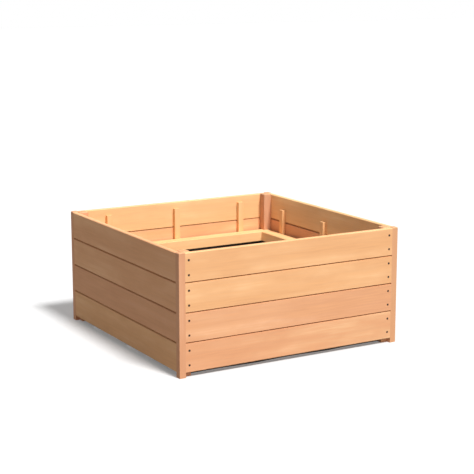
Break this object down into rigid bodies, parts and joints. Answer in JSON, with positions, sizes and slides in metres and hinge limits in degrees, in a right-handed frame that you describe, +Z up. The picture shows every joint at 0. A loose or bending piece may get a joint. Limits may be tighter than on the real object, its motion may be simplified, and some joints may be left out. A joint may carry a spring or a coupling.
{
  "type": "raised garden bed",
  "caption": "Square raised garden bed of horizontal timber boards let into rebated corner posts, with wall battens, a flat inner frame and a fabric liner.",
  "frame": {"origin": "on the ground under the middle of the bed", "axes": "+Z up, -Y towards the front wall, +X to the right along the front wall"},
  "size_m": [1.056, 1.056, 0.508],
  "materials": {
    "board_timber": "planed softwood board, untreated, fine grain with a few knots",
    "post_timber": "planed softwood post, slightly pinker, end grain on top",
    "frame_timber": "sawn and eased softwood batten and rail",
    "liner_fabric": "black woven ground fabric, matt",
    "screw_steel": "dark brown coated wood screws"
  },
  "bodies": {
    "root": {"front_board_1": "board_timber", "front_board_2": "board_timber", "front_board_3": "board_timber", "front_board_4": "board_timber", "rear_board_1": "board_timber", "rear_board_2": "board_timber", "rear_board_3": "board_timber", "rear_board_4": "board_timber", "left_board_1": "board_timber", "left_board_2": "board_timber", "left_board_3": "board_timber", "left_board_4": "board_timber", "right_board_1": "board_timber", "right_board_2": "board_timber", "right_board_3": "board_timber", "right_board_4": "board_timber", "post_front_left": "post_timber", "post_front_right": "post_timber", "post_rear_left": "post_timber", "post_rear_right": "post_timber", "front_batten_left": "frame_timber", "front_batten_centre": "frame_timber", "front_batten_right": "frame_timber", "right_batten_front": "frame_timber", "right_batten_centre": "frame_timber", "right_batten_rear": "frame_timber", "rear_batten_left": "frame_timber", "rear_batten_centre": "frame_timber", "rear_batten_right": "frame_timber", "left_batten_front": "frame_timber", "left_batten_centre": "frame_timber", "left_batten_rear": "frame_timber", "frame_rail_front": "frame_timber", "frame_rail_right": "frame_timber", "frame_rail_rear": "frame_timber", "frame_rail_left": "frame_timber", "liner": "liner_fabric", "front_screws_left": "screw_steel", "front_screws_right": "screw_steel", "rear_screws_left": "screw_steel", "rear_screws_right": "screw_steel", "frame_screws_front": "screw_steel", "frame_screws_right": "screw_steel", "frame_screws_rear": "screw_steel", "frame_screws_left": "screw_steel"}
  },
  "joints": []
}
